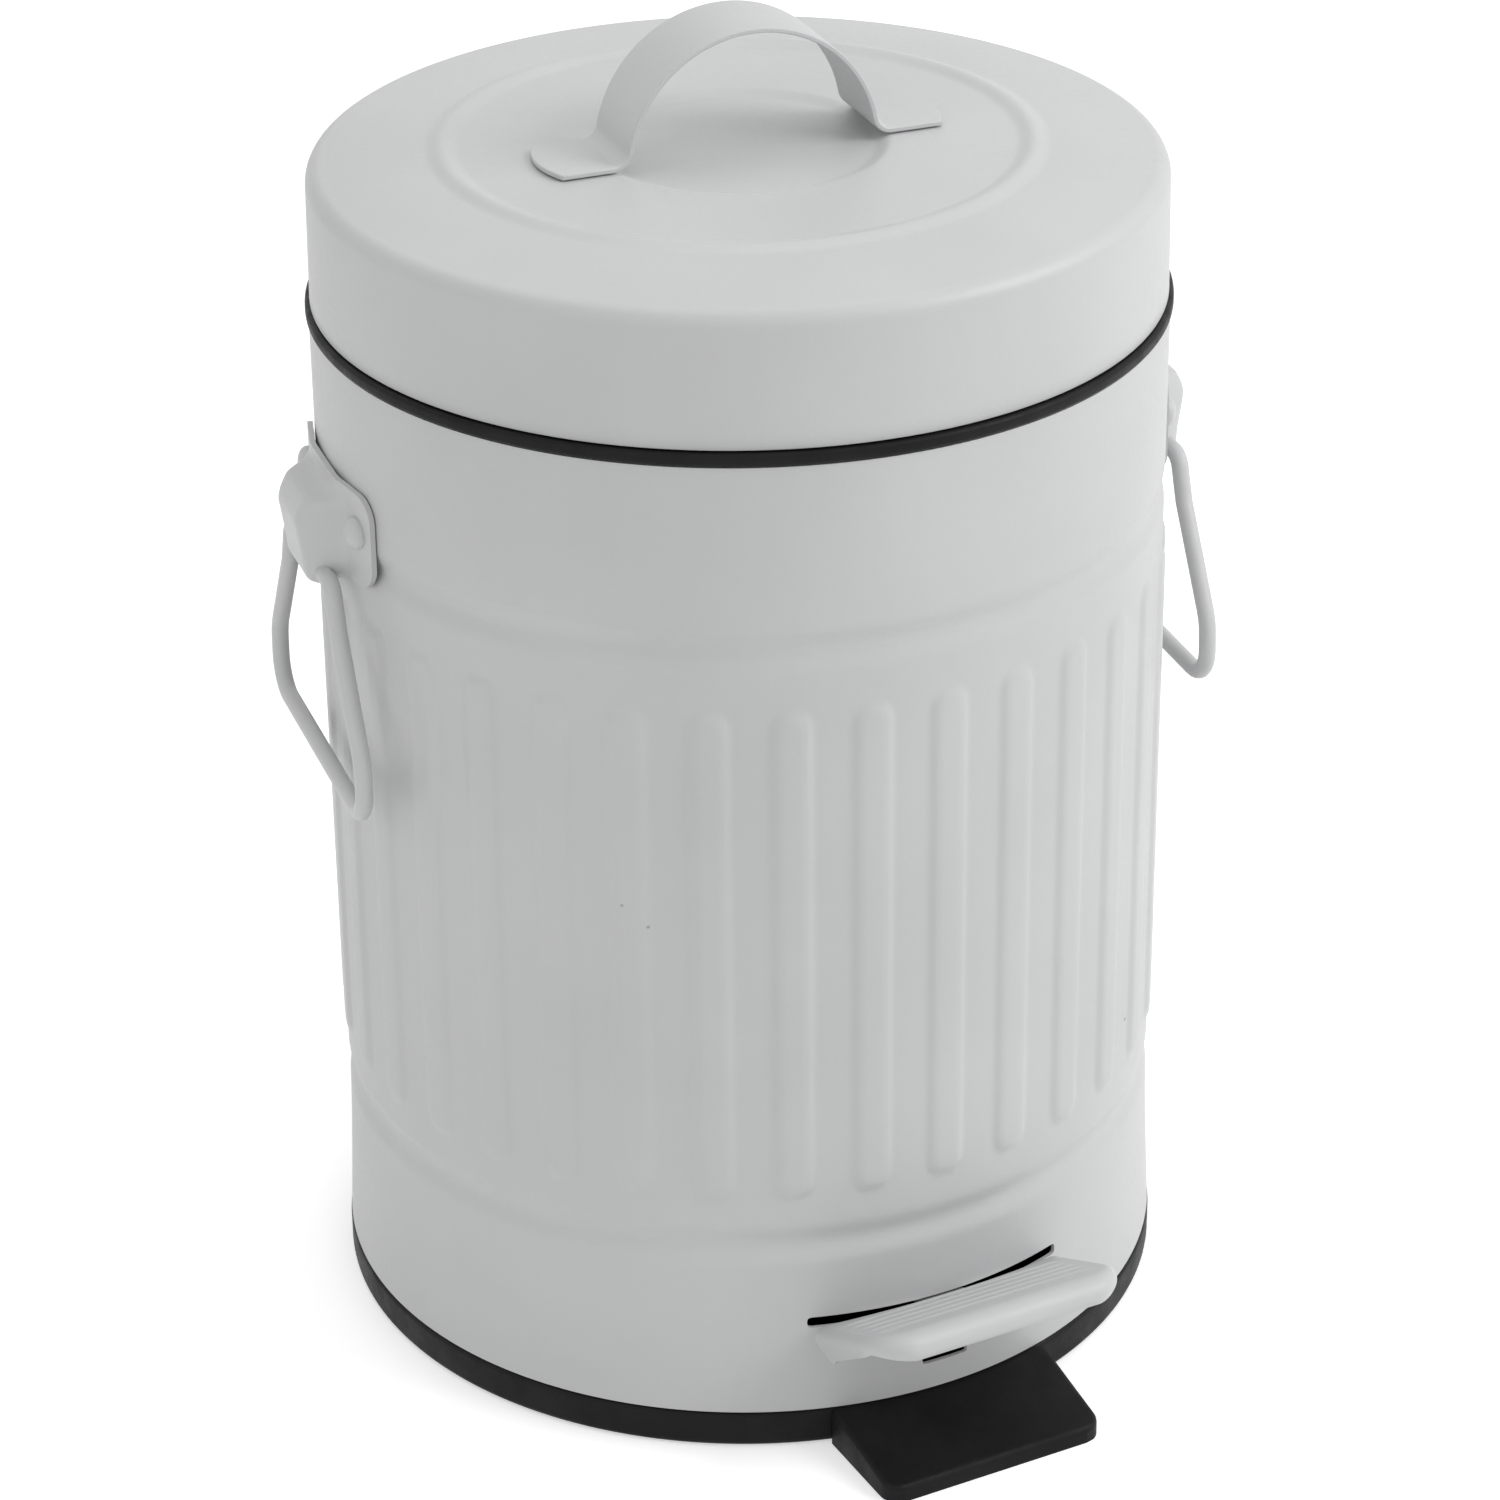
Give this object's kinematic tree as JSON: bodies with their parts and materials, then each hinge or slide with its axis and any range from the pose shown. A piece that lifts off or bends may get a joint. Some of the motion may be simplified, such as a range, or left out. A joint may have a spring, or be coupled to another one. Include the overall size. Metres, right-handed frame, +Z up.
{
  "type": "pedal bin",
  "caption": "Small round pedal bin of ribbed painted steel with a black base, a hinged lid with a strap handle, wire side handles and an inner bucket.",
  "frame": {"origin": "centre of the base on the floor, on the body's axis", "axes": "+Z up, -Y towards the pedal, +X to the right seen from the pedal"},
  "size_m": [0.1876, 0.2027, 0.27],
  "materials": {
    "paint": "satin",
    "black_plastic": "satin",
    "grey_plastic": "matte",
    "zinc": "satin"
  },
  "bodies": {
    "bin": {"body_shell": "paint", "base": "black_plastic", "rim_ring": "black_plastic", "body_hinge_leaf": "paint", "hinge_pin": "zinc", "body_hinge_rivet_right": "paint", "body_hinge_rivet_left": "paint", "rod_guide": "zinc", "pedal_pin": "zinc", "handle_bracket_right": "paint", "handle_rivet_right_1": "paint", "handle_rivet_right_2": "paint", "handle_bracket_left": "paint", "handle_rivet_left_1": "paint", "handle_rivet_left_2": "paint"},
    "lid": {"lid_shell": "paint", "lid_handle": "paint", "lid_hinge_leaf": "paint", "lid_hinge_rivet_right": "paint", "lid_hinge_rivet_left": "paint"},
    "pedal": {"pedal_tread": "paint", "pedal_lever": "zinc", "pedal_rivet_right": "zinc", "pedal_rivet_left": "zinc"},
    "rod": {"push_rod": "zinc"},
    "right_bail": {"handle_bail_right": "paint"},
    "left_bail": {"handle_bail_left": "paint"},
    "inner_bucket": {"bucket": "grey_plastic"},
    "bucket_handle": {"bucket_bail": "zinc"}
  },
  "joints": [
    {"name": "lid_hinge", "type": "hinge", "parent": "bin", "child": "lid", "pos_m": [0, 0.09, 0.2161], "axis": [-1, 0, 0], "range_deg": [0, 75]},
    {"name": "pedal_pivot", "type": "hinge", "parent": "bin", "child": "pedal", "pos_m": [0, -0.015, 0.017], "axis": [1, 0, 0], "range_deg": [0, 10.9]},
    {"name": "rod_slide", "type": "slide", "parent": "bin", "child": "rod", "axis": [0, 0, 1], "range_m": [0, 0.0176]},
    {"name": "right_bail_hinge", "type": "hinge", "parent": "bin", "child": "right_bail", "pos_m": [0.08737, -0.01275, 0.1715], "axis": [-0.1444, -0.9895, 0], "range_deg": [0, 150]},
    {"name": "left_bail_hinge", "type": "hinge", "parent": "bin", "child": "left_bail", "pos_m": [-0.08737, 0.01275, 0.1715], "axis": [0.1444, 0.9895, 0], "range_deg": [0, 150]},
    {"name": "bucket_lift", "type": "slide", "parent": "bin", "child": "inner_bucket", "axis": [0, 0, 1], "range_m": [0, 0.01]},
    {"name": "bucket_handle_hinge", "type": "hinge", "parent": "inner_bucket", "child": "bucket_handle", "pos_m": [0, 0, 0.21945], "axis": [-1, 0, 0], "range_deg": [0, 10]}
  ],
  "couplings": [
    {"joint": "pedal_pivot", "follows": "lid_hinge", "ratio": 0.1448},
    {"joint": "rod_slide", "follows": "lid_hinge", "m_per_rad": 0.01344}
  ]
}
